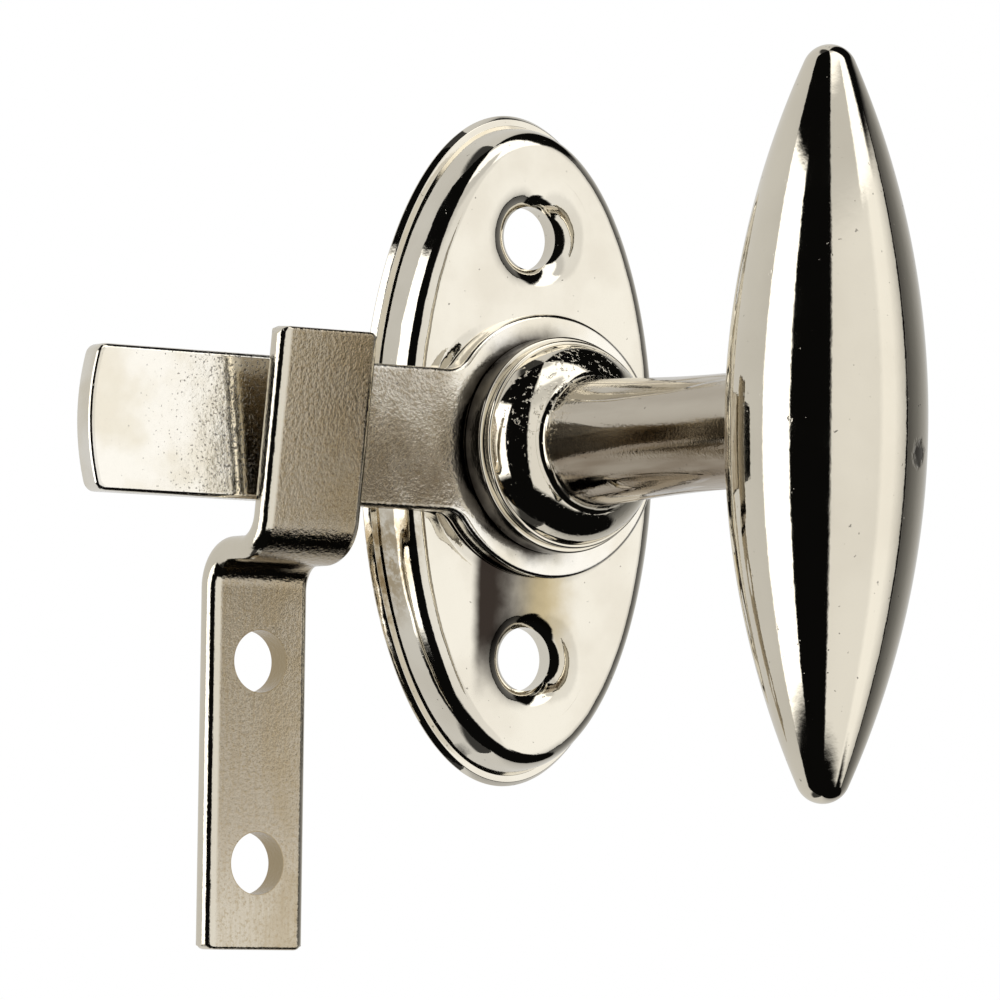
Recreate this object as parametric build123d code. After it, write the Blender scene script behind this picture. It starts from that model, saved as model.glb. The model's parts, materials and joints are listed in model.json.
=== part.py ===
"""Olive-handled window catch, in millimetres.

An oval stamped plate screws to the sash. One casting, the olive handle, turns in it and carries
a flat tongue, which swings behind a Z-bent strike hook screwed to the fixed frame.

Every piece is drawn lying on its back: x to the right, y up, z out of the plate into the room,
with z = 0 at the plate's back edge. The last step stands the pieces up, so that z points along -Y.
"""
import math
import os

from build123d import *

# Stamped plate
sheet = 1.0                 # thickness of the pressed sheet
plate_half_width = 13.05
plate_half_height = 24.95
foot_height = 0.4           # thin foot round the edge
foot_width = 0.78           # how far the wall stands in from the outline
foot_round = 0.3
wall_height = 1.7           # top of the steep part of the wall
wall_lean = 9.0             # degrees, steep part
crown_lean = 23.0           # degrees, from there up to the rounding
field_height = 3.75         # flat upper face
field_round = 1.4
field_inner_round = 0.6     # the same rounding on the sheet's back
boss_radius = 10.6          # low round pad under the tongue's eye
boss_height = 0.15
boss_round = 0.12

# Screw holes of the plate, pressed in as shallow countersinks
screw_spacing = 31.2
screw_hole_radius = 2.35
sink_radius = 4.3
sink_depth = 0.75

# Turning tongue
tongue_thickness = 2.0
tongue_width = 10.4
tongue_reach = 40.2
tongue_bulge = 0.8          # rise of the curved end
tongue_corner = 1.1
tongue_edge = 0.3           # tumbled edge
eye_radius = 9.75
eye_fillet = 2.0

# Olive handle, one casting
square_side = 5.6           # drives the tongue
square_clearance = 0.03     # on each side
journal_radius = 2.95
bearing_clearance = 0.05
tail_radius = 2.0
collar_radius = 7.95
collar_height = 1.85
step_radius = 7.65
step_height = 0.75
dome_radius = 4.0           # round of the dome between the step and the neck
dome_centre_radius = 3.55   # distance of that round's centre from the axis
dome_start = 16.0           # degrees of the round, at the step
dome_end = 72.0             # degrees of the round, at the neck
neck_root_round = 0.8
neck_radius = 4.12
flare_length = 16.0         # the neck widens gently over this length towards the dome
olive_distance = 37.9       # from the plate's back to the olive's middle
olive_radius = 7.1
olive_half_length = 26.5
olive_arc_radius = 63.0     # long side curve

# Washers behind the plate
spring_thickness = 0.4
spring_height = 0.8         # free height of the dished spring
spring_outer_radius = 5.9
end_washer_thickness = 0.6
end_washer_radius = 4.6
rivet_head_radius = 3.1
rivet_head_height = 0.55

# Strike hook, one bent strip
hook_thickness = 1.9
hook_width = 8.6
hook_centre_x = -22.7
hook_base = -0.25           # its frame face lies this far behind the plate's back
hook_gap = 1.4              # tongue face to the upper flange, level with the turning axis
hook_flare = 8.35           # degrees, upper flange leans out as a lead-in
hook_bottom = -37.2
hook_web = -9.6             # underside of the web
hook_top = 6.9
hook_inner_bend = 1.7
hook_edge = 0.35
hook_hole_radius = 2.25
hook_upper_hole = -16.5
hook_hole_spacing = 14.5

# Worked-out sizes, and levels along z
olive_tip_radius = ((2 * olive_arc_radius - olive_radius) * olive_radius - olive_half_length ** 2) \
    / (2 * (olive_arc_radius - olive_half_length))      # ball that the long arc runs into smoothly
boss_front = field_height + boss_height
boss_back = boss_front - sheet
tongue_front = boss_front + tongue_thickness
end_washer_front = boss_back - spring_height
end_washer_back = end_washer_front - end_washer_thickness
hook_hole_levels = (hook_upper_hole, hook_upper_hole - hook_hole_spacing)
screw_levels = (screw_spacing / 2, -screw_spacing / 2)


def edges_at_level(solid, level):
    """Edges that lie flat at one z level."""
    return [e for e in solid.edges() if abs(e.bounding_box().min.Z - level) < 1e-4
            and abs(e.bounding_box().max.Z - level) < 1e-4]


def turned(points):
    """Solid turned about z from a closed half-section of (radius, level) points."""
    return revolve(make_face(Polyline(points, close=True)), Axis.Z)


def on_section(radius, level):
    """A point of a half-section, on the XZ plane."""
    return (radius, 0, level)


def oval_cap(inset):
    """The plate's raised form above its foot, drawn in by an equal inset all over."""
    steep_height = wall_height - inset
    oval = Ellipse(plate_half_width - foot_width - inset, plate_half_height - foot_width - inset)
    steep = extrude(oval, steep_height, taper=wall_lean)
    top_face = steep.faces().sort_by(Axis.Z)[-1]
    crown = extrude(top_face, field_height - wall_height, dir=(0, 0, 1), taper=crown_lean)
    rounding = field_round if inset == 0 else field_inner_round
    crown = fillet(edges_at_level(crown, field_height - inset), rounding)
    return steep + crown


def oval_foot():
    """Thin foot that bears on the sash."""
    foot = extrude(Ellipse(plate_half_width, plate_half_height), foot_height)
    return fillet(edges_at_level(foot, foot_height), foot_round)


def boss(inset):
    """Low round pad in the middle, with a soft edge."""
    overlap = 0.5           # how far the pad reaches down into the field
    height = boss_height + overlap
    pad = Pos(0, 0, boss_front - inset - height) * extrude(Circle(boss_radius - inset), height)
    if inset == 0:
        pad = fillet(edges_at_level(pad, boss_front), boss_round)
    return pad


def countersink(inset):
    """Cone that presses the field down round a screw hole; inset moves it to the sheet's back."""
    top = field_height - inset + 0.01
    bottom = top - sink_depth
    lean = (sink_radius - screw_hole_radius) / sink_depth
    grow = inset * (math.hypot(1, lean) - 1)
    return turned([on_section(0, bottom), on_section(screw_hole_radius + grow, bottom),
                   on_section(sink_radius + grow, top), on_section(0, top)])


def make_backplate():
    outside = oval_foot() + oval_cap(0) + boss(0)
    hollow = oval_cap(sheet) + boss(sheet)
    for level in screw_levels:
        outside -= Pos(0, level, 0) * countersink(0)
        hollow -= Pos(0, level, 0) * countersink(sheet)
    plate = outside - hollow
    plate -= extrude(Circle(journal_radius + bearing_clearance), field_height * 2)
    for level in screw_levels:
        plate -= Pos(0, level, 0) * extrude(Circle(screw_hole_radius), field_height * 2)
    return plate


def make_turning_tongue():
    half = tongue_width / 2
    shoulder = -tongue_reach + tongue_bulge
    outline = Polyline((0, half), (shoulder, half))
    outline += ThreePointArc((shoulder, half), (-tongue_reach, 0), (shoulder, -half))
    outline += Polyline((shoulder, -half), (0, -half), (0, half))
    strip = make_face(outline)
    nose = strip.vertices().sort_by(Axis.X)[:2]
    strip = fillet(nose, tongue_corner)
    shape = strip + Circle(eye_radius)
    inner = [v for v in shape.vertices() if -eye_radius < v.X < 0 and abs(abs(v.Y) - half) < 0.01]
    shape = fillet(inner, eye_fillet)
    bar = Pos(0, 0, boss_front) * extrude(shape, tongue_thickness)
    bar = fillet(edges_at_level(bar, tongue_front) + edges_at_level(bar, boss_front), tongue_edge)
    hole = Rectangle(square_side + 2 * square_clearance, square_side + 2 * square_clearance)
    return bar - extrude(hole, tongue_front * 2)


def handle_section():
    """Half-section of the collar, step, dome and neck, from the tongue's face into the olive."""
    collar_top = tongue_front + collar_height
    step_top = collar_top + step_height
    dome_centre = step_top - dome_radius * math.sin(math.radians(dome_start))
    edge = 0.2

    def on_dome(angle):
        turn = math.radians(angle)
        return on_section(dome_centre_radius + dome_radius * math.cos(turn),
                          dome_centre + dome_radius * math.sin(turn))

    root = on_dome(dome_end)
    neck_start = root[2] + flare_length
    flare_depth = root[0] - neck_radius
    flare_middle = on_section(neck_radius + flare_depth / 4, root[2] + flare_length / 2)
    start = on_section(collar_radius - edge, tongue_front)
    outline = Polyline(start, on_section(collar_radius, tongue_front + edge),
                       on_section(collar_radius, collar_top - edge),
                       on_section(collar_radius - edge, collar_top),
                       on_section(step_radius, collar_top),
                       on_section(step_radius, step_top - edge),
                       on_section(step_radius - edge, step_top),
                       on_dome(dome_start))
    outline += ThreePointArc(on_dome(dome_start), on_dome((dome_start + dome_end) / 2), root)
    outline += ThreePointArc(root, flare_middle, on_section(neck_radius, neck_start))
    outline += Polyline(on_section(neck_radius, neck_start), on_section(neck_radius, olive_distance),
                        on_section(0, olive_distance), on_section(0, tongue_front), start)
    section = make_face(outline)
    root_corner = [v for v in section.vertices() if math.dist(tuple(v), root) < 1e-4]
    return fillet(root_corner, neck_root_round)


def make_olive():
    """Olive turned about its long axis: one long arc, with a ball tip tangent to it at each end."""
    arc_offset = olive_arc_radius - olive_radius
    ball = olive_half_length - olive_tip_radius
    slope = math.atan2(ball, arc_offset)

    def on_ball(angle):
        return (olive_tip_radius * math.cos(angle), ball + olive_tip_radius * math.sin(angle))

    def down(point):
        return (point[0], -point[1])

    join = on_ball(slope)
    between = on_ball((slope + math.radians(90)) / 2)
    pole = (0, olive_half_length)
    outline = ThreePointArc(down(join), (olive_radius, 0), join)
    outline += ThreePointArc(join, between, pole)
    outline += Line(pole, down(pole))
    outline += ThreePointArc(down(pole), down(between), down(join))
    seam_in_neck = Rot(Y=90)
    return Pos(0, 0, olive_distance) * seam_in_neck * revolve(make_face(outline), Axis.Y)


def make_spindle():
    """Square, journal, tail and peened head, on the handle's axis."""
    head_back = end_washer_back - rivet_head_height
    core_radius = square_side / 2 - 0.2
    core_top = tongue_front + 1.0
    spindle = turned([on_section(0, head_back), on_section(rivet_head_radius, head_back),
                      on_section(rivet_head_radius, end_washer_back),
                      on_section(tail_radius, end_washer_back),
                      on_section(tail_radius, end_washer_front),
                      on_section(journal_radius, end_washer_front),
                      on_section(journal_radius, boss_front),
                      on_section(core_radius, boss_front),
                      on_section(core_radius, core_top), on_section(0, core_top)])
    spindle = fillet(edges_at_level(spindle, head_back), rivet_head_height * 0.8)
    square = extrude(Rectangle(square_side, square_side), tongue_thickness + 0.5)
    return spindle + Pos(0, 0, boss_front) * square


def make_olive_handle():
    return revolve(handle_section(), Axis.Z) + make_olive() + make_spindle()


def make_spring_washer():
    """Dished spring: its rim bears on the plate's back, its bore on the end washer."""
    bore = journal_radius + bearing_clearance
    rise = spring_height - spring_thickness
    return turned([on_section(bore, end_washer_front),
                   on_section(spring_outer_radius, end_washer_front + rise),
                   on_section(spring_outer_radius, boss_back),
                   on_section(bore, end_washer_front + spring_thickness)])


def make_end_washer():
    washer = Circle(end_washer_radius) - Circle(tail_radius)
    return Pos(0, 0, end_washer_back) * extrude(washer, end_washer_thickness)


def make_strike_hook():
    """Strip bent twice, drawn from the side: along is z, up is y."""
    outer_bend = hook_inner_bend + hook_thickness
    web_mid = hook_web + hook_thickness / 2
    low_mid = hook_base + hook_thickness / 2
    high_mid = tongue_front + hook_gap + hook_thickness / 2     # level with the turning axis
    lean = math.tan(math.radians(hook_flare))
    path = FilletPolyline((low_mid, hook_bottom), (low_mid, web_mid),
                          (high_mid + lean * web_mid, web_mid),
                          (high_mid + lean * hook_top, hook_top),
                          radius=(hook_inner_bend + outer_bend) / 2)
    strip = make_face(trace(path, hook_thickness).edges())
    hook = extrude(Plane.ZY * strip, hook_width / 2, both=True)
    long_edges = [e for e in hook.edges() if abs(abs(e.center().X) - hook_width / 2) < 0.01]
    hook = fillet(long_edges, hook_edge)
    for level in hook_hole_levels:
        hook -= Pos(0, level, hook_base - 1) * extrude(Circle(hook_hole_radius), hook_thickness + 2)
    return Pos(hook_centre_x, 0, 0) * hook


def main():
    os.makedirs("parts", exist_ok=True)
    stand_up = Rot(X=90)
    pieces = {
        "backplate": make_backplate(),
        "turning_tongue": make_turning_tongue(),
        "olive_handle": make_olive_handle(),
        "spring_washer": make_spring_washer(),
        "end_washer": make_end_washer(),
        "strike_hook": make_strike_hook(),
    }
    for name, piece in pieces.items():
        export_step(stand_up * piece, f"parts/{name}.step")
        print(name, "solids", len(piece.solids()), "volume", round(piece.volume, 1))


main()
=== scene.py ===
# Olive window catch in polished and satin nickel, on a pale floor under soft studio light.
# Pieces are drawn in millimetres in the row frame and shrunk to metres when they are finished.
import json
import math

import bmesh
import bpy
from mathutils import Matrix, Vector


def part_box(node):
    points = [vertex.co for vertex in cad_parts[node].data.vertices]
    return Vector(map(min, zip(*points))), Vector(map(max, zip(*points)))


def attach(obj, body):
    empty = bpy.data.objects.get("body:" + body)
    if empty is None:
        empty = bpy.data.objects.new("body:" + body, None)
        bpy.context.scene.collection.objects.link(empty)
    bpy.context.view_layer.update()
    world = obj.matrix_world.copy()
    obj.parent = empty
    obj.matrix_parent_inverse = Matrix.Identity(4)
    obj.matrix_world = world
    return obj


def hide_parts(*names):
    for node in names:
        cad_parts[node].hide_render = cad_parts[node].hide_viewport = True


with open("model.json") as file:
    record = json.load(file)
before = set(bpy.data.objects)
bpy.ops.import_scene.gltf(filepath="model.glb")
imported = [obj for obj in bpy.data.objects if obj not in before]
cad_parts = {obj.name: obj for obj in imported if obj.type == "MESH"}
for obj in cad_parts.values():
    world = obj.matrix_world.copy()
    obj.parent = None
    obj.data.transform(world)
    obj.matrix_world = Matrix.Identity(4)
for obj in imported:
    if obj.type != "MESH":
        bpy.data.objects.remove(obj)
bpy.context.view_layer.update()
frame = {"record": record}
millimetre = 0.001
outlineWeld, turningWeld = 0.001, 0.0005     # millimetres within which corners are joined
smoothAngle = 35.0                       # degrees; edges that turn more stay crisp
mounts = {mount["name"]: mount for mount in frame["record"]["mounts"]}


def nodeBox(node):                       # corners of a CAD node in millimetres
    low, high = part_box(node)
    return low / millimetre, high / millimetre


def mountPlace(name):
    return Vector(mounts[name]["pos_m"]) / millimetre


def clearPicks():
    if bpy.context.mode != "OBJECT":
        bpy.ops.object.mode_set(mode="OBJECT")
    bpy.ops.object.select_all(action="DESELECT")


def takeUp(piece):                       # only this piece is picked, and it is the active one
    clearPicks()
    piece.select_set(True)
    bpy.context.view_layer.objects.active = piece


def pickEdges(piece, wanted):            # leaves the piece in edit mode with these edges picked
    bpy.ops.object.mode_set(mode="EDIT")
    bpy.ops.mesh.select_mode(type="EDGE")
    bpy.ops.mesh.select_all(action="DESELECT")
    mesh = bmesh.from_edit_mesh(piece.data)
    for edge in mesh.edges:
        edge.select_set(bool(wanted(edge)))
    bmesh.update_edit_mesh(piece.data)


def drawOutline(name, points):           # one corner pulled along the points, as an edge chain
    clearPicks()
    bpy.ops.mesh.primitive_plane_add(size=1, location=points[0])
    piece = bpy.context.object
    piece.name = name
    bpy.ops.object.mode_set(mode="EDIT")
    bpy.ops.mesh.select_mode(type="VERT")
    bpy.ops.mesh.select_all(action="SELECT")
    bpy.ops.mesh.merge(type="CENTER")
    for last, point in zip(points, points[1:]):
        step = Vector(point) - Vector(last)
        bpy.ops.mesh.extrude_vertices_move(TRANSFORM_OT_translate={"value": step})
    return piece


def fillOutline(piece):                  # closes the chain and makes its face
    bpy.ops.mesh.select_all(action="SELECT")
    bpy.ops.mesh.remove_doubles(threshold=outlineWeld)
    bpy.ops.mesh.select_all(action="SELECT")
    bpy.ops.mesh.edge_face_add()
    return piece


def pullFace(piece, step):               # outline face to slab
    bpy.ops.mesh.select_all(action="SELECT")
    bpy.ops.mesh.extrude_region_move(TRANSFORM_OT_translate={"value": step})
    bpy.ops.mesh.select_all(action="SELECT")
    bpy.ops.mesh.normals_make_consistent(inside=False)
    return piece


def lathe(name, points, axis, centre=(0, 0, 0), steps=192):      # one full turn, merged at the seam
    piece = drawOutline(name, points)
    bpy.ops.mesh.select_all(action="SELECT")
    bpy.ops.mesh.spin(steps=steps, angle=math.tau, center=centre, axis=axis)
    bpy.ops.mesh.select_all(action="SELECT")
    bpy.ops.mesh.remove_doubles(threshold=turningWeld)
    bpy.ops.mesh.normals_make_consistent(inside=False)
    clearPicks()
    return piece


def combine(piece, tool, operation):     # boolean, after which the tool is thrown away
    takeUp(piece)
    bpy.ops.object.modifier_add(type="BOOLEAN")
    step = piece.modifiers[-1]
    step.operation = operation
    step.solver = "EXACT"
    step.object = tool
    bpy.ops.object.modifier_apply(modifier=step.name)
    bpy.data.objects.remove(tool)
    return piece


def drill(piece, radius, depth, place, steps):          # round hole along the turning axis
    clearPicks()
    bpy.ops.mesh.primitive_cylinder_add(vertices=steps, radius=radius, depth=depth, location=place,
                                        rotation=(math.pi / 2, 0, 0))
    return combine(piece, bpy.context.object, "DIFFERENCE")


def arcPoints(centre, radius, start, stop, steps):      # angles in degrees, in a flat section
    angles = [math.radians(start + (stop - start) * step / steps) for step in range(steps + 1)]
    return [(centre[0] + radius * math.cos(a), centre[1] + radius * math.sin(a)) for a in angles]


def roundCorners(corners, steps=8):      # corners are (x, y, radius) of an open chain
    points = [corners[0][:2]]
    for before, corner, after in zip(corners, corners[1:], corners[2:]):
        place = Vector(corner[:2])
        radius = corner[2]
        if radius <= 0:
            points.append(tuple(place))
            continue
        back = (Vector(before[:2]) - place).normalized()
        on = (Vector(after[:2]) - place).normalized()
        half = back.angle(on) / 2
        reach = radius / math.tan(half)
        first, last = place + back * reach, place + on * reach
        middle = place + (back + on).normalized() * (radius / math.sin(half))
        begin, end = first - middle, last - middle
        for step in range(steps + 1):
            points.append(tuple(middle + begin.slerp(end, step / steps) * radius))
    points.append(corners[-1][:2])
    return points


def outwards(points):                    # (across, out) pairs to row points in the plane x, -y
    return [(across, -out, 0) for across, out in points]


def finishPiece(piece, body, node, material):     # to metres, smoothed, in place of its CAD node
    takeUp(piece)
    piece.location *= millimetre
    piece.scale *= millimetre
    bpy.ops.object.transform_apply(location=True, rotation=True, scale=True)
    bpy.ops.object.shade_smooth_by_angle(angle=math.radians(smoothAngle))
    bpy.ops.object.modifier_add(type="WEIGHTED_NORMAL")
    piece.modifiers[-1].keep_sharp = True
    bpy.ops.object.modifier_apply(modifier=piece.modifiers[-1].name)
    piece.data.materials.clear()
    piece.data.materials.append(material)
    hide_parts(node)
    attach(piece, body)
    print("made", piece.name, len(piece.data.polygons), "faces")
    return piece


# Shader maths

class Wire:                              # an output socket that can stand in a sum
    def __init__(self, recipe, socket):
        self.recipe = recipe
        self.socket = socket

    def math(self, operation, first, second=0.0):
        return self.recipe.add("ShaderNodeMath", {"operation": operation}, {0: first, 1: second})

    def __add__(self, other):
        return self.math("ADD", self, other)

    def __sub__(self, other):
        return self.math("SUBTRACT", self, other)

    def __rsub__(self, other):
        return self.math("SUBTRACT", other, self)

    def __mul__(self, other):
        return self.math("MULTIPLY", self, other)

    def __pow__(self, other):
        return self.math("POWER", self, other)

    __radd__ = __add__
    __rmul__ = __mul__


class Recipe:                            # one material's nodes
    def __init__(self, name):
        self.material = bpy.data.materials.new(name)
        self.material.use_nodes = True
        self.tree = self.material.node_tree
        self.tree.nodes.clear()

    def add(self, kind, settings=None, sockets=None, output=0):
        node = self.tree.nodes.new(kind)
        for key, value in (settings or {}).items():
            if key == "stops":
                ramp = node.color_ramp
                while len(ramp.elements) < len(value):
                    ramp.elements.new(0.5)
                for element, (place, colour) in zip(ramp.elements, value):
                    element.position = place
                    element.color = (*colour, 1)
            else:
                setattr(node, key, value)
        for key, value in (sockets or {}).items():
            if isinstance(value, Wire):
                self.tree.links.new(value.socket, node.inputs[key])
            else:
                node.inputs[key].default_value = value
        return Wire(self, node.outputs[output]) if node.outputs else node

    def place(self, scale=(1, 1, 1)):    # Object coordinates in millimetres, stretched by scale
        spot = self.add("ShaderNodeTexCoord", output=3)
        sized = tuple(factor / millimetre for factor in scale)
        return self.add("ShaderNodeMapping", {}, {0: spot, "Scale": sized})

    def noise(self, where, scale, detail=3.0, rough=0.5):
        sockets = {"Vector": where, "Scale": scale, "Detail": detail, "Roughness": rough}
        return self.add("ShaderNodeTexNoise", {}, sockets)

    def fade(self, value, low, high, start=0.0, stop=1.0):
        sockets = {0: value, 1: low, 2: high, 3: start, 4: stop}
        return self.add("ShaderNodeMapRange", {"interpolation_type": "SMOOTHSTEP"}, sockets)

    def blend(self, share, first, second):
        settings = {"data_type": "RGBA"}
        return self.add("ShaderNodeMix", settings, {0: share, 6: first, 7: second}, 2)

    def rise(self, value, span):         # 0 before the span, 1 past it
        return self.fade(value, *span)

    def fall(self, value, span):         # 1 before the span, 0 past it
        return self.fade(value, *span, 1.0, 0.0)

    def parts(self, spot):               # x, y and z of a place
        return [self.add("ShaderNodeSeparateXYZ", {}, {0: spot}, axis) for axis in range(3)]

    def distance(self, first, second):
        return self.add("ShaderNodeVectorMath", {"operation": "DISTANCE"}, {0: first, 1: second}, 1)

    def pits(self, spot):                # sparse pinholes in the polish
        return self.fade(self.noise(spot, 2.2, 2), 0.72, 0.78)

    def bump(self, height, distance, normal=None):
        sockets = {"Height": height, "Distance": distance}
        if normal:
            sockets["Normal"] = normal
        return self.add("ShaderNodeBump", {}, sockets)

    def metal(self, colour, roughness, normal):
        sockets = {"Base Color": colour, "Metallic": 1.0, "Roughness": roughness, "Normal": normal}
        shader = self.add("ShaderNodeBsdfPrincipled", {}, sockets)
        self.add("ShaderNodeOutputMaterial", {}, {0: shader})
        return self.material


def rgba(colour):
    return (*colour, 1.0)


nickel = {
    # the tarnish brown also paints shade in the hook's screw holes
    "bright": (0.76, 0.71, 0.60), "dull": (0.70, 0.65, 0.545), "tarnish": (0.40, 0.32, 0.20),
    "white": (0.86, 0.83, 0.76), "plateBright": (0.785, 0.745, 0.65),
    "plateDull": (0.72, 0.675, 0.58), "neck": (0.27, 0.215, 0.155),
    # the dark satin colour is the tongue bar's real finish and also the hook's painted reflection,
    # darker upwards
    "satin": (0.62, 0.565, 0.465), "satinDark": (0.43, 0.375, 0.29), "pit": (0.10, 0.09, 0.08),
    # the darkest colour marks a real casting mark and also paints shade and reflection; the brown
    # fringe colour is painted reflection
    "stain": (0.035, 0.027, 0.022), "fringe": (0.46, 0.36, 0.17),
}


def paint(recipe, share, under, name):   # lays a nickel colour over what is there
    return recipe.blend(share, under, rgba(nickel[name]))


# Finishes: spans in millimetres along the row axes, heights of the relief in metres

plateFinish = {
    # spans of the painted dark reflection below the eye and of its brown fringe
    "stainFoot": (-19.5, -14.0), "stainTop": (-7.0, -5.5), "stainFront": (-3.3, -3.0),
    "stainLeft": (-5.7, -4.7), "stainRight": (-3.6, 2.2), "ragged": 1.6,
    "fringeLeft": (-2.5, 0.5), "fringeRight": (1.0, 4.4),
    "rimInner": (-11.0, -9.6), "rimFoot": (-17.0, -13.0), "rimTop": (-7.0, -4.0),
    "roughness": (0.035, 0.10), "dents": 0.00022, "wave": 0.000007, "pits": 0.000006,
}


def makePolishedNickel():                # plate, with a painted dark reflection under the eye and darker mottling at its left rim
    look = plateFinish
    recipe = Recipe("polishedNickel")
    spot = recipe.place()
    across, deep, up = recipe.parts(spot)
    clouds = recipe.fade(recipe.noise(spot, 0.16, 4), 0.38, 0.64)
    colour = paint(recipe, clouds, rgba(nickel["plateBright"]), "plateDull")
    pits = recipe.pits(spot)
    colour = paint(recipe, pits * 0.6, colour, "pit")
    ragged = recipe.noise(spot, 0.8, 4) * look["ragged"] - look["ragged"] / 2
    # painted reflection: a dark patch with a brown fringe on the field below the eye
    below = recipe.rise(up + ragged, look["stainFoot"]) * recipe.fall(up, look["stainTop"])
    below = below * recipe.fall(deep, look["stainFront"])
    left = recipe.rise(across + ragged * 0.2, look["stainLeft"])
    stain = left * recipe.fall(across + ragged, look["stainRight"]) * below
    fringe = recipe.rise(across, look["fringeLeft"])
    fringe = fringe * recipe.fall(across + ragged, look["fringeRight"]) * below
    # darker brown mottling on the lower part of the left rim
    rim = recipe.fall(across, look["rimInner"]) * recipe.rise(up, look["rimFoot"])
    rim = rim * recipe.fall(up, look["rimTop"])
    rim = rim * recipe.fade(recipe.noise(spot, 1.1, 5, 0.7), 0.36, 0.56)
    colour = paint(recipe, rim * 0.85, colour, "tarnish")
    colour = paint(recipe, fringe * 0.8, colour, "fringe")
    colour = paint(recipe, stain, colour, "stain")
    smudge = recipe.noise(spot, 0.35, 4)
    roughness = recipe.fade(smudge, 0.4, 0.75, *look["roughness"]) + pits * 0.2
    dents = recipe.bump(recipe.noise(spot, 0.14, 2), look["dents"])
    wave = recipe.bump(recipe.noise(spot, 1.6, 3), look["wave"], dents)
    normal = recipe.bump(pits * -1.0, look["pits"], wave)
    return recipe.metal(colour, roughness, normal)


castFinish = {
    "neckStart": (10.8, 12.6), "neckEnd": (31.0, 32.5), "neckLow": (-0.6, 1.4),
    "neckCalm": (3.0, 9.0), "domeStart": (8.7, 9.4), "domeEnd": (12.4, 14.0), "domeHigh": (-1.0, 3.0),
    "drumBack": (5.6, 5.8), "drumFront": (7.6, 7.75), "drumLeft": (0.0, 4.0),
    "markPlace": (3.1, -44.1, -2.3), "markSpan": (1.2, 2.0), "roughness": (0.03, 0.07),
    "wave": 0.000005, "speckle": 0.000024, "seams": 0.00011, "flow": 0.00016,
    "sand": 0.000008, "pits": 0.000006,
}


def makeCastNickel():                    # polished olive and drum, rough-cast neck between them
    look = castFinish
    recipe = Recipe("castNickel")
    spot = recipe.place()
    across, deep, up = recipe.parts(spot)
    out = deep * -1.0
    neck = recipe.rise(out, look["neckStart"]) * recipe.fall(out, look["neckEnd"])
    dome = recipe.rise(out, look["domeStart"]) * recipe.fall(out, look["domeEnd"])
    clouds = recipe.noise(spot, 0.10, 4)
    colour = paint(recipe, recipe.fade(clouds, 0.35, 0.7), rgba(nickel["bright"]), "dull")
    flow = recipe.noise(recipe.place((1.0, 0.14, 1.0)), 0.55, 3, 0.45)
    # the neck is painted dark brown, most on its lower side and less on top
    low = neck * recipe.fade(up, *look["neckLow"], 1.0, 0.45)
    rough = neck * recipe.fade(up * up, *look["neckCalm"], 0.12, 1.0)
    colour = paint(recipe, low * recipe.fade(flow, 0.40, 0.62, 0.72, 1.0), colour, "neck")
    # painted shade: the left half of the collar's drum is darkened
    drum = recipe.fall(out, look["drumFront"]) * recipe.rise(out, look["drumBack"])
    drum = drum * recipe.fall(across, look["drumLeft"])
    colour = paint(recipe, drum * recipe.fade(clouds, 0.3, 0.6, 0.97, 0.8), colour, "stain")
    pits = recipe.pits(spot)
    colour = paint(recipe, pits * 0.6, colour, "pit")
    apart = recipe.distance(spot, look["markPlace"]) + recipe.noise(spot, 1.2, 3) * 1.6
    mark = recipe.fall(apart, look["markSpan"])
    colour = paint(recipe, mark * 0.85, colour, "stain")
    smudge = recipe.noise(spot, 0.35, 4)
    roughness = recipe.fade(smudge, 0.4, 0.75, *look["roughness"]) + pits * 0.2 + neck * 0.03
    cast = recipe.bump(recipe.noise(spot, 1.6, 3), look["wave"])
    speckle = recipe.fade(recipe.noise(spot, 2.6, 3, 0.6), 0.58, 0.70)
    speckle = speckle * dome * recipe.fade(up, *look["domeHigh"], 0.12, 1.0)
    cast = recipe.bump(speckle, look["speckle"], cast)
    seams = recipe.fade(recipe.noise(recipe.place((1.0, 0.12, 1.0)), 0.42, 1), 0.50, 0.55)
    cast = recipe.bump(seams * rough, look["seams"], cast)
    cast = recipe.bump(flow * rough, look["flow"], cast)
    cast = recipe.bump(recipe.noise(spot, 5.5, 2) * neck, look["sand"], cast)
    normal = recipe.bump(pits * -1.0 - mark * 12.0, look["pits"], cast)
    return recipe.metal(colour, roughness, normal)


tongueFinish = {
    "nose": (-25.0, -22.0), "barStart": (-23.0, -20.0), "barEnd": (-10.5, -7.5),
    # spans of the painted shade round the collar
    "groove": (8.4, 10.0), "grooveLeft": (-2.0, 3.0),
    "crowdStart": (-38.0, -27.0), "crowdHook": (-24.0, -20.0), "crowdEnd": (-12.0, -8.0),
    "roughness": (0.07, 0.12), "waves": 0.00004, "grain": 0.000045, "pits": 0.000012,
}


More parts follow.
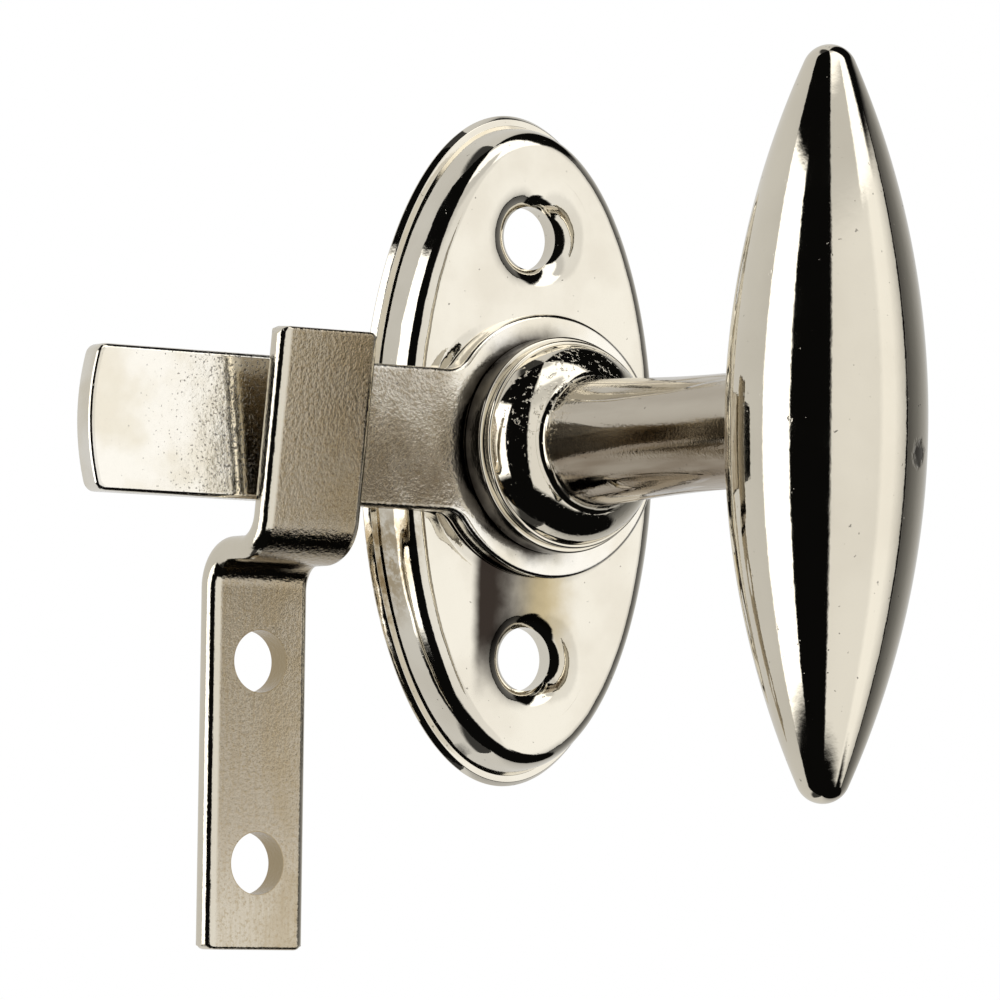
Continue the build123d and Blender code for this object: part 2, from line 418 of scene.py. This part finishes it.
def makeTongueNickel():                  # bright nose and eye, grained and pitted bar between them
    look = tongueFinish
    recipe = Recipe("tongueNickel")
    spot = recipe.place()
    across, up = recipe.parts(spot)[::2]
    apart = (across * across + up * up) ** 0.5 + recipe.noise(spot, 0.6, 3) * 1.2
    # painted shade round the collar, on the eye's left side
    groove = recipe.fall(apart, look["groove"]) * recipe.fall(across, look["grooveLeft"])
    nose = recipe.fall(across, look["nose"])
    bar = recipe.rise(across, look["barStart"]) * recipe.fall(across, look["barEnd"])
    grain = recipe.noise(spot, 4.5, 3)
    clouds = recipe.noise(spot, 0.22, 3)
    colour = paint(recipe, recipe.fade(clouds, 0.38, 0.66), rgba(nickel["white"]), "bright")
    colour = paint(recipe, bar * recipe.fade(clouds, 0.3, 0.62, 0.35, 0.9), colour, "satinDark")
    crowd = recipe.fade(across, *look["crowdStart"], 0.0, 0.16)      # pits crowd towards the hook
    crowd = crowd * recipe.fade(across, *look["crowdHook"], 1.0, 0.35)
    crowd = crowd * recipe.fall(across, look["crowdEnd"])
    pits = recipe.fade(recipe.noise(spot, 4.6, 2) + crowd, 0.73, 0.80)
    colour = paint(recipe, pits * 0.7, colour, "pit")
    colour = paint(recipe, bar * recipe.fade(grain, 0.52, 0.66, 0.0, 0.55), colour, "tarnish")
    # painted shade round the collar
    colour = paint(recipe, groove * 0.94, colour, "stain")
    roughness = recipe.fade(grain, 0.3, 0.7, *look["roughness"]) + bar * 0.12 + nose * 0.015
    height = recipe.bump(recipe.noise(spot, 0.30, 2), look["waves"])
    height = recipe.bump(grain * (bar * 0.85 + 0.15), look["grain"], height)
    normal = recipe.bump(pits * -1.0, look["pits"], height)
    return recipe.metal(colour, roughness, normal)


hookFinish = {
    "warmSide": (-24.0, -20.5), "darkUpwards": (-37.0, -27.0), "holeWall": (0.03, 0.08),
    "rubbedLeft": (0.7, 1.0), "rubbedRight": (-0.8, -0.5),
    "roughness": (0.09, 0.15), "streaks": 0.00001, "grain": 0.00005,
}


def makeHookNickel():                    # tumbled strip with faint rolling streaks along it
    look = hookFinish
    recipe = Recipe("hookNickel")
    spot = recipe.place()
    across, up = recipe.parts(spot)[::2]
    streaks = recipe.noise(recipe.place((2.2, 2.2, 0.14)), 1.4, 4, 0.6)
    grain = recipe.noise(spot, 3.6, 3, 0.6)
    clouds = recipe.noise(spot, 0.26, 3)
    # the right half is painted a warmer brown in clouds
    warm = recipe.rise(across, look["warmSide"]) * recipe.fade(clouds, 0.36, 0.6) * 0.55
    # painted reflection: lighter at the strip's lower end, darker upwards
    reflectionDarkening = recipe.fade(up, *look["darkUpwards"], 0.15, 0.9)
    colour = paint(recipe, reflectionDarkening, rgba(nickel["satin"]), "satinDark")
    colour = paint(recipe, warm, colour, "tarnish")
    colour = paint(recipe, recipe.fade(streaks, 0.46, 0.66, 0.0, 0.35), colour, "tarnish")
    colour = paint(recipe, recipe.fade(grain, 0.50, 0.66, 0.0, 0.6), colour, "tarnish")
    flat = recipe.place((1, 0, 1))       # the holes' walls get painted shade, the long edges rubbed bright
    middle, screws = mountPlace("strike_screws"), mounts["strike_screws"]["dims"]
    wall = [screws["hole_r_mm"] + past for past in look["holeWall"]]
    for level in (screws["spacing_y_mm"] / 2, -screws["spacing_y_mm"] / 2):
        apart = recipe.distance(flat, (middle.x, 0, middle.z + level))
        # painted shade on the screw holes' walls
        colour = paint(recipe, recipe.fall(apart, wall), colour, "tarnish")
    low, high = nodeBox("strike_hook")
    rubbed = recipe.fall(across, [low.x + inset for inset in look["rubbedLeft"]])
    rubbed = rubbed + recipe.rise(across, [high.x + inset for inset in look["rubbedRight"]])
    colour = paint(recipe, rubbed * 0.85, colour, "bright")
    roughness = recipe.fade(grain, 0.3, 0.7, *look["roughness"]) - rubbed * 0.05
    height = recipe.bump(streaks, look["streaks"])
    normal = recipe.bump(grain * (1.0 - rubbed * 0.75), look["grain"], height)
    return recipe.metal(colour, roughness, normal)


steelFinish = {"dark": (0.34, 0.33, 0.32), "light": (0.5, 0.48, 0.45), "grain": 0.00001}


def makeSpringSteel():
    recipe = Recipe("springSteel")
    spot = recipe.place()
    grain = recipe.noise(spot, 2.5, 4)
    colour = recipe.blend(grain, rgba(steelFinish["dark"]), rgba(steelFinish["light"]))
    roughness = recipe.fade(grain, 0.3, 0.7, 0.25, 0.4)
    return recipe.metal(colour, roughness, recipe.bump(grain, steelFinish["grain"]))


polishedNickel = makePolishedNickel()
castNickel = makeCastNickel()
tongueNickel = makeTongueNickel()
hookNickel = makeHookNickel()
springSteel = makeSpringSteel()
print("finishes ready")

# Backplate: rings of an oval, each drawn in and up from the last; an inner one hollows the outer

plate = {
    "segments": 288, "sheet": 1.0, "footRise": 0.08, "facetWidth": 0.30, "facetTop": 0.56,
    "footTop": 0.54, "footWidth": 0.78, "edgeRound": 0.05, "footRound": 0.08, "nookRound": 0.03,
    "wallLean": 14.0, "crownTurn": 33.0, "crownRadius": 3.2, "shoulderRadius": 1.6,
    "beadDip": 0.05, "beadWidth": 1.7, "bossHeight": 0.15, "bossRadius": 10.6, "bossSlope": 1.2,
    "sinkRadius": 4.95, "sinkDish": 0.5, "sinkCone": 0.75, "bearing": 3.0, "through": 20,
}


def plateSection(draw, top):             # (inset, out) pairs; draw pulls the section inwards
    lean, turn, width = plate["wallLean"], plate["crownTurn"], plate["footWidth"]
    slope = math.tan(math.radians(lean))
    big, small = plate["crownRadius"] - draw, plate["shoulderRadius"] - min(draw, 0.8)
    crown = arcPoints((0, 0), big, 180 - lean, 180 - turn, 12)
    shoulder = arcPoints((0, 0), small, 180 - turn, 90, 20)
    crownRise = crown[-1][1] - crown[0][1]
    shoulderRise = shoulder[-1][1] - shoulder[0][1]
    wallTop = top - draw - crownRise - shoulderRise
    if draw:                             # the hollow starts 1 mm behind the plate and opens it
        section = [(draw, -1.0), (width + draw + wallTop * slope, wallTop)]
    else:
        foot = [(0, 0, 0), (0, plate["footRise"], plate["edgeRound"]),
                (plate["facetWidth"], plate["facetTop"], plate["footRound"]),
                (width, plate["footTop"], plate["nookRound"]),
                (width + (wallTop - plate["footTop"]) * slope, wallTop, 0)]
        section = roundCorners(foot, 5)
    for arc in (crown, shoulder):
        start = section[-1]
        section += [(start[0] + x - arc[0][0], start[1] + y - arc[0][1]) for x, y in arc[1:]]
    crest = section[-1]
    steps = 12
    for step in range(1, steps + 1):
        share = step / steps
        dip = plate["beadDip"] * smoothStep(share)
        section.append((crest[0] + plate["beadWidth"] * share, crest[1] - dip))
    return section


def growRings(section, half):            # pulls the picked ring through the section
    for (inset, out), (nextInset, nextOut) in zip(section, section[1:]):
        bpy.ops.mesh.extrude_edges_move(TRANSFORM_OT_translate={"value": (0, out - nextOut, 0)})
        size = ((half.x - nextInset) / (half.x - inset), 1, (half.z - nextInset) / (half.z - inset))
        bpy.ops.transform.resize(value=size, center_override=(0, -nextOut, 0))
    bpy.ops.mesh.edge_face_add()


def smoothStep(share):
    return share * share * (3 - 2 * share)


def makeShell(draw, half, top):          # draw 0 gives the outer skin, the sheet's thickness the hollow
    clearPicks()
    bpy.ops.mesh.primitive_circle_add(vertices=plate["segments"], radius=1,
                                      rotation=(math.pi / 2, 0, 0))
    shell = bpy.context.object
    shell.scale = (half.x - draw, half.z - draw, 1)
    bpy.ops.object.transform_apply(location=True, rotation=True, scale=True)
    bpy.ops.object.mode_set(mode="EDIT")
    bpy.ops.mesh.select_mode(type="VERT")
    bpy.ops.mesh.select_all(action="SELECT")
    section = plateSection(draw, top)
    bpy.ops.transform.translate(value=(0, -section[0][1], 0))
    growRings(section, half)
    bpy.ops.mesh.select_all(action="DESELECT")
    bpy.ops.mesh.select_non_manifold()
    bpy.ops.mesh.edge_face_add()
    bpy.ops.mesh.select_all(action="SELECT")
    bpy.ops.mesh.normals_make_consistent(inside=False)
    clearPicks()
    return shell


def raiseBoss(shell, draw, boss, flat):  # low round boss with a soft edge
    radius, slope = plate["bossRadius"] - draw, plate["bossSlope"]
    rise = boss - flat + 0.004
    shares = [step / 10 for step in range(11)]
    crown = [(radius - slope * (1 - share), boss - draw - rise * smoothStep(share)) for share in shares]
    floor = flat - draw - 0.6
    pad = [(0, boss - draw), *crown, (radius, floor), (0, floor)]
    combine(shell, lathe("pad", outwards(pad + pad[:1]), (0, 1, 0)), "UNION")


def pressSink(shell, draw, level, hole, flat):          # a shallow dish that steepens to a cone
    lip = plate["sinkRadius"] + draw * 0.2
    floor = hole - 0.2 + draw * 0.5
    top, steps = flat - draw, 22
    rim = [(lip, top + 0.002)]
    for step in range(1, steps + 1):
        share = step / steps
        depth = plate["sinkDish"] * share ** 2 + plate["sinkCone"] * share ** 4
        rim.append((lip + (floor - lip) * share, top - depth))
    sink = [(0, rim[-1][1]), *rim[::-1], (lip, flat + 3), (0, flat + 3)]
    raised = [(x, y, level) for x, y, z in outwards(sink + sink[:1])]
    combine(shell, lathe("sink", raised, (0, 1, 0), (0, 0, level), 128), "DIFFERENCE")


def makeBackplate():
    low, high = nodeBox("backplate")
    half = (high - low) / 2
    boss = -low.y
    top = boss - plate["bossHeight"]
    flat = top - plate["beadDip"]
    sheets = (0.0, plate["sheet"])
    shells = [makeShell(draw, half, top) for draw in sheets]
    outside, hollow = shells
    outside.name = "nickelBackplate"
    for shell, draw in zip(shells, sheets):
        raiseBoss(shell, draw, boss, flat)
    screws = mounts["plate_screws"]["dims"]
    level, hole = screws["spacing_y_mm"] / 2, screws["hole_r_mm"]
    for side in (level, -level):
        for shell, draw in zip(shells, sheets):
            pressSink(shell, draw, side, hole, flat)
    combine(outside, hollow, "DIFFERENCE")
    for side, radius in ((level, hole), (-level, hole), (0, plate["bearing"])):
        drill(outside, radius, plate["through"], (0, 0, side), 128)
    return finishPiece(outside, "root", "backplate", polishedNickel)


makeBackplate()

# Turning tongue: bar and round eye in one outline, with tumbled edges

tongue = {"width": 10.4, "eyeRadius": 9.75, "eyeFillet": 2.0, "bulge": 0.8, "noseInset": 0.75,
          "corner": 0.88, "edge": 0.4, "square": 5.66}
sharpTurn = 1.2                          # radians; only edges that turn more are rounded


def sharpEdge(edge):
    return len(edge.link_faces) == 2 and edge.calc_face_angle(0) > sharpTurn


def makeTongue():
    low, high = nodeBox("turning_tongue")
    half = tongue["width"] / 2
    eye, fillet = tongue["eyeRadius"], tongue["eyeFillet"]
    reach = -low.x
    rise = tongue["bulge"]
    bulgeRadius = (half * half + rise * rise) / (2 * rise)
    spread = math.degrees(math.asin((half - tongue["noseInset"]) / bulgeRadius))
    nose = arcPoints((-reach + bulgeRadius, 0), bulgeRadius, 180 - spread, 180, 16)
    centre = (-math.sqrt((eye + fillet) ** 2 - (half + fillet) ** 2), half + fillet)
    meet = math.degrees(math.atan2(centre[1], centre[0]))
    corner = roundCorners([(centre[0], half, 0), (-reach + rise, half, tongue["corner"]),
                           (*nose[0], 0)], 8)
    neck = arcPoints(centre, fillet, meet + 180, 270, 10)
    ring = arcPoints((0, 0), eye, 0, meet, 96)
    upper = [*ring, *neck[1:], *corner[1:], *nose[1:]]
    lower = [(x, -z) for x, z in upper[::-1]]
    outline = [(x, low.y, z) for x, z in upper + lower[1:]]
    bar = drawOutline("nickelTongue", outline)
    fillOutline(bar)
    pullFace(bar, (0, high.y - low.y, 0))
    pickEdges(bar, sharpEdge)
    bpy.ops.mesh.bevel(offset=tongue["edge"], segments=5, profile=0.5, affect="EDGES")
    clearPicks()
    bpy.ops.mesh.primitive_cube_add(size=1, location=(0, (low.y + high.y) / 2, 0))
    hole = bpy.context.object
    hole.scale = (tongue["square"], 10, tongue["square"])
    combine(bar, hole, "DIFFERENCE")
    return finishPiece(bar, "handle", "turning_tongue", tongueNickel)


makeTongue()

# Olive handle: olive turned about the upright axis, stem turned about the turning axis

handle = {
    "oliveRadius": 7.1, "sideArc": 63.0, "neckRadius": 4.12, "neckRound": 0.8,
    "flareStart": 1.6, "flareLength": 16.0,
    "collarRadius": 7.95, "collarHeight": 1.85, "stepRadius": 7.65, "stepHeight": 0.75,
    "domeRadius": 4.0, "domeCentre": 3.55, "domeStart": 16.0, "domeEnd": 72.0,
    "edge": 0.2, "square": 5.6, "squareBite": 0.1, "core": 2.6, "journal": 2.95, "tail": 2.0,
    "headRadius": 3.1, "headHeight": 0.55, "headRound": 0.44,
}


def makeHandle():
    low, high = nodeBox("olive_handle")
    tongueLow, tongueHigh = nodeBox("turning_tongue")
    washerLow, washerHigh = nodeBox("end_washer")
    halfLength = (high.z - low.z) / 2
    radius, side = handle["oliveRadius"], handle["sideArc"]
    axisOut = -low.y - radius
    tip = ((2 * side - radius) * radius - halfLength ** 2) / (2 * (side - halfLength))
    lean = math.degrees(math.atan2(halfLength - tip, side - radius))
    flank = arcPoints((radius - side, 0), side, -lean, lean, 120)
    cap = arcPoints((0, halfLength - tip), tip, lean, 90, 12)
    foot = [(across, -up) for across, up in cap[::-1]]
    outline = [*foot, *flank[1:-1], *cap]
    outline[0], outline[-1] = (0, -halfLength), (0, halfLength)
    points = [(across, -axisOut, up) for across, up in outline]
    olive = lathe("nickelHandle", points, (0, 0, 1), (0, -axisOut, 0))

    face = -tongueLow.y
    collarTop = face + handle["collarHeight"]
    stepTop = collarTop + handle["stepHeight"]
    edge = handle["edge"]
    start, stop = handle["domeStart"], handle["domeEnd"]
    domeLevel = stepTop - handle["domeRadius"] * math.sin(math.radians(start))
    dome = arcPoints((handle["domeCentre"], domeLevel), handle["domeRadius"], start, stop, 28)
    root, length = dome[-1], handle["flareLength"]
    widening = root[0] - handle["neckRadius"]
    begin = handle["flareStart"]

    def flareAt(out):                    # the neck widens towards the dome
        return handle["neckRadius"] + widening * (1 - out / length) ** 2, root[1] + out

    neck = roundCorners([(*dome[-2], 0), (*root, handle["neckRound"]), (*flareAt(begin), 0)], 10)
    shaft = [flareAt(begin + (length - begin) * step / 36) for step in range(1, 37)]
    straight = axisOut - shaft[-1][1]
    shaft += [(handle["neckRadius"], shaft[-1][1] + straight * step / 20) for step in range(1, 21)]
    headBack = -washerHigh.y - handle["headHeight"]
    tailEnd, tailStart = -washerHigh.y, -washerLow.y
    tongueBack = -tongueHigh.y
    fillet = handle["headRound"]
    head = arcPoints((handle["headRadius"] - fillet, headBack + fillet), fillet, 270, 360, 8)
    stem = [(0, headBack), *head, (handle["headRadius"], tailEnd), (handle["tail"], tailEnd),
            (handle["tail"], tailStart), (handle["journal"], tailStart),
            (handle["journal"], tongueBack), (handle["core"], tongueBack), (handle["core"], face),
            *roundCorners([(handle["core"], face, 0), (handle["collarRadius"], face, edge),
                           (handle["collarRadius"], collarTop, edge),
                           (handle["stepRadius"] - 0.02, collarTop, 0),
                           (handle["stepRadius"], stepTop, edge), (dome[0][0], stepTop, 0)], 4)[1:],
            *dome[1:-2], *neck, *shaft, (0, axisOut)]
    turned = lathe("stem", outwards(stem), (0, 1, 0))
    clearPicks()
    bite = handle["squareBite"]          # the square reaches into the collar
    bpy.ops.mesh.primitive_cube_add(size=1, location=(0, -(face + tongueBack + bite) / 2, 0))
    square = bpy.context.object
    square.scale = (handle["square"], face - tongueBack + bite, handle["square"])
    combine(turned, square, "UNION")
    combine(olive, turned, "UNION")
    return finishPiece(olive, "handle", "olive_handle", castNickel)


makeHandle()

# Strike hook: side outline of the bent strip pulled across, edges rounded, holes drilled

hook = {"strip": 1.9, "innerBend": 1.7, "edge": 0.85, "endEdge": 0.3, "flare": 8.35, "web": -9.6,
        "slack": 1.4, "through": 6}


def makeHook():
    low, high = nodeBox("strike_hook")
    strip, inner = hook["strip"], hook["innerBend"]
    back = -high.y
    lean = math.tan(math.radians(hook["flare"]))
    web = hook["web"]
    slot = -nodeBox("turning_tongue")[0].y + hook["slack"]
    front = slot + strip
    turned = -strip * lean / 2           # the end of the leaning flange is square to it
    corners = [(back, low.z, 0), (back, web + strip, inner + strip),
               (slot + lean * (web + strip), web + strip, inner), (slot + lean * high.z, high.z, 0),
               (front + lean * (high.z + turned), high.z + turned, 0),
               (front + lean * web, web, inner + strip),
               (back + strip, web, inner), (back + strip, low.z, 0)]
    outline = roundCorners(corners + [corners[0]], 14)
    points = [(low.x, -out, up) for out, up in outline]
    strap = drawOutline("nickelHook", points)
    fillOutline(strap)
    pullFace(strap, (high.x - low.x, 0, 0))

    def longEdge(edge):                  # follows the strip on one of its sides
        return sharpEdge(edge) and abs(edge.verts[0].co.x - edge.verts[1].co.x) < 0.01

    pickEdges(strap, longEdge)
    bpy.ops.mesh.bevel(offset=hook["edge"], segments=9, profile=0.5, affect="EDGES")
    pickEdges(strap, sharpEdge)
    bpy.ops.mesh.bevel(offset=hook["endEdge"], segments=4, profile=0.5, affect="EDGES")
    clearPicks()
    middle, screws = mountPlace("strike_screws"), mounts["strike_screws"]["dims"]
    for level in (screws["spacing_y_mm"] / 2, -screws["spacing_y_mm"] / 2):
        drill(strap, screws["hole_r_mm"], hook["through"], middle + Vector((0, 0, level)), 96)
    return finishPiece(strap, "root", "strike_hook", hookNickel)


makeHook()

# Washers behind the plate

washers = {"springThickness": 0.4, "springBore": 3.0, "endBore": 2.02, "edge": 0.08}


def makeWashers():
    low, high = nodeBox("spring_washer")
    outer = (high.x - low.x) / 2
    inside, outside = -high.y, -low.y
    thick, bore = washers["springThickness"], washers["springBore"]
    ring = [(bore, inside), (outer, outside - thick), (outer, outside), (bore, inside + thick),
            (bore, inside)]
    spring = lathe("steelSpringWasher", outwards(ring), (0, 1, 0), steps=96)
    finishPiece(spring, "root", "spring_washer", springSteel)
    low, high = nodeBox("end_washer")
    outer = (high.x - low.x) / 2
    inside, outside, edge = -high.y, -low.y, washers["edge"]
    bore = washers["endBore"]
    ring = [(bore, inside), (outer - edge, inside), (outer, inside + edge), (outer, outside - edge),
            (outer - edge, outside), (bore, outside), (bore, inside)]
    end = lathe("steelEndWasher", outwards(ring), (0, 1, 0), steps=96)
    finishPiece(end, "handle", "end_washer", springSteel)


makeWashers()

# Studio: pale floor, white surround, and a round room that only the metal mirrors

studio = {
    "floorLevel": -0.060, "floorSize": 6.0, "radius": 0.9, "tint": (1.0, 0.995, 0.985),
    "belt": [                            # azimuth, level around the room
        (-180, 0.74), (-130, 0.72), (-113.5, 0.70), (-112, 2.2), (-79, 2.2), (-77.5, 0.004),
        (-33, 0.004), (-31, 0.96), (-8, 0.98), (22, 0.98), (28, 1.17), (43, 1.15), (52, 0.92),
        (60, 0.66), (65, 0.10), (84, 0.22), (104, 0.42), (124, 0.62), (140, 0.74), (180, 0.74),
    ],
    "zones": {
        # name: from, to azimuth, from, to elevation, soft azimuth, soft elevation, level
        "thinPost": (61.2, 64.2, -91, 91, 0.5, 1, 0.004),
        "upperFront": (-33, 26, 31, 91, 1.5, 5, 0.74),
        "overheadRight": (16, 44, 31, 64, 2, 2.5, 1.8),
        "overhead": (-30, 40, 50, 78, 2, 3, 1.7),
        "aboveRight": (46, 126, 31, 91, 3, 3, 0.004),
        "belowFront": (-42, 104, -91, -39, 2, 3, 0.004),
        "belowRight": (30, 104, -91, -33, 4, 2, 0.004),
        "aboveBox": (-114, -76, 37, 91, 1.0, 2, 0.004),
        "belowBox": (-114, -76, -91, -31, 1.0, 4, 0.004),
        "leftTop": (-181, -112, 64, 91, 3, 4, 0.05),
        "leftBottom": (-181, -112, -91, -60, 3, 4, 0.05),
    },
}


def makeRoom():
    clearPicks()
    bpy.ops.mesh.primitive_uv_sphere_add(segments=64, ring_count=32, radius=studio["radius"])
    bpy.ops.object.shade_smooth()
    room = bpy.context.object
    room.name = "studioRoom"
    recipe = Recipe("studioRoom")
    spot = recipe.add("ShaderNodeTexCoord", output=3)
    aim = recipe.add("ShaderNodeVectorMath", {"operation": "NORMALIZE"}, {0: spot})
    across, along, up = recipe.parts(aim)
    azimuth = across.math("ARCTAN2", across, along * -1.0) * math.degrees(1)
    elevation = up.math("ARCSINE", up) * math.degrees(1)
    stops = [((turn + 180) / 360, (level, level, level)) for turn, level in studio["belt"]]
    shade = recipe.add("ShaderNodeValToRGB", {"stops": stops}, {0: azimuth * (1 / 360) + 0.5})
    for start, stop, low, high, softTurn, softRise, level in studio["zones"].values():
        mask = recipe.rise(azimuth, (start - softTurn, start + softTurn))
        mask = mask * recipe.fall(azimuth, (stop - softTurn, stop + softTurn))
        mask = mask * recipe.rise(elevation, (low - softRise, low + softRise))
        mask = mask * recipe.fall(elevation, (high - softRise, high + softRise))
        shade = recipe.blend(mask, shade, rgba((level, level, level)))
    sockets = {0: shade, 1: studio["tint"]}
    tinted = recipe.add("ShaderNodeVectorMath", {"operation": "MULTIPLY"}, sockets)
    light = recipe.add("ShaderNodeEmission", {}, {"Color": tinted})
    recipe.add("ShaderNodeOutputMaterial", {}, {0: light})
    room.data.materials.append(recipe.material)
    room.visible_camera = False
    room.visible_diffuse = False
    room.visible_shadow = False


def makeFloor():
    clearPicks()
    bpy.ops.mesh.primitive_plane_add(size=studio["floorSize"], location=(0, 0, studio["floorLevel"]))
    floor = bpy.context.object
    floor.name = "floor"
    recipe = Recipe("paleFloor")
    shader = recipe.add("ShaderNodeBsdfDiffuse", {}, {"Color": (1, 1, 1, 1)})
    recipe.add("ShaderNodeOutputMaterial", {}, {0: shader})
    floor.data.materials.append(recipe.material)
    floor.visible_glossy = False


def makeSurround():
    world = bpy.data.worlds.new("surround")
    bpy.context.scene.world = world
    world.use_nodes = True
    background = world.node_tree.nodes["Background"]
    background.inputs["Color"].default_value = (1, 1, 1, 1)
    background.inputs["Strength"].default_value = 1.0


makeRoom()
makeFloor()
makeSurround()

# Camera at the photograph's angle

shot = {"azimuth": -36.03, "elevation": -3.685, "roll": -0.762, "distance": 480.0,
        "pixelsPerMillimetre": 13.46, "originPixel": (505.0, 450.2), "imageSize": 1000, "sensor": 36.0}


def makeCamera():
    a, e, r = (math.radians(shot[key]) for key in ("azimuth", "elevation", "roll"))
    back = Vector((math.sin(a) * math.cos(e), -math.cos(a) * math.cos(e), math.sin(e)))
    right = Vector((math.cos(a), math.sin(a), 0))
    up = back.cross(right)
    tiltedRight = right * math.cos(r) - up * math.sin(r)
    tiltedUp = right * math.sin(r) + up * math.cos(r)
    middle = shot["imageSize"] / 2
    across = (shot["originPixel"][0] - middle) / shot["pixelsPerMillimetre"]
    above = (middle - shot["originPixel"][1]) / shot["pixelsPerMillimetre"]
    data = bpy.data.cameras.new("camera")
    data.sensor_width = shot["sensor"]
    data.lens = shot["pixelsPerMillimetre"] * shot["distance"] / shot["imageSize"] * shot["sensor"]
    data.clip_start, data.clip_end = 0.01, 20
    camera = bpy.data.objects.new("camera", data)
    bpy.context.scene.collection.objects.link(camera)
    matrix = camera.matrix_world.copy()
    for column, axis in enumerate((tiltedRight, tiltedUp, back)):
        for row in range(3):
            matrix[row][column] = axis[row]
    place = back * shot["distance"] - tiltedRight * across - tiltedUp * above
    for row in range(3):
        matrix[row][3] = place[row] * millimetre
    camera.matrix_world = matrix
    bpy.context.scene.camera = camera


makeCamera()
bpy.context.scene.view_settings.view_transform = "Standard"

print("scene ready")
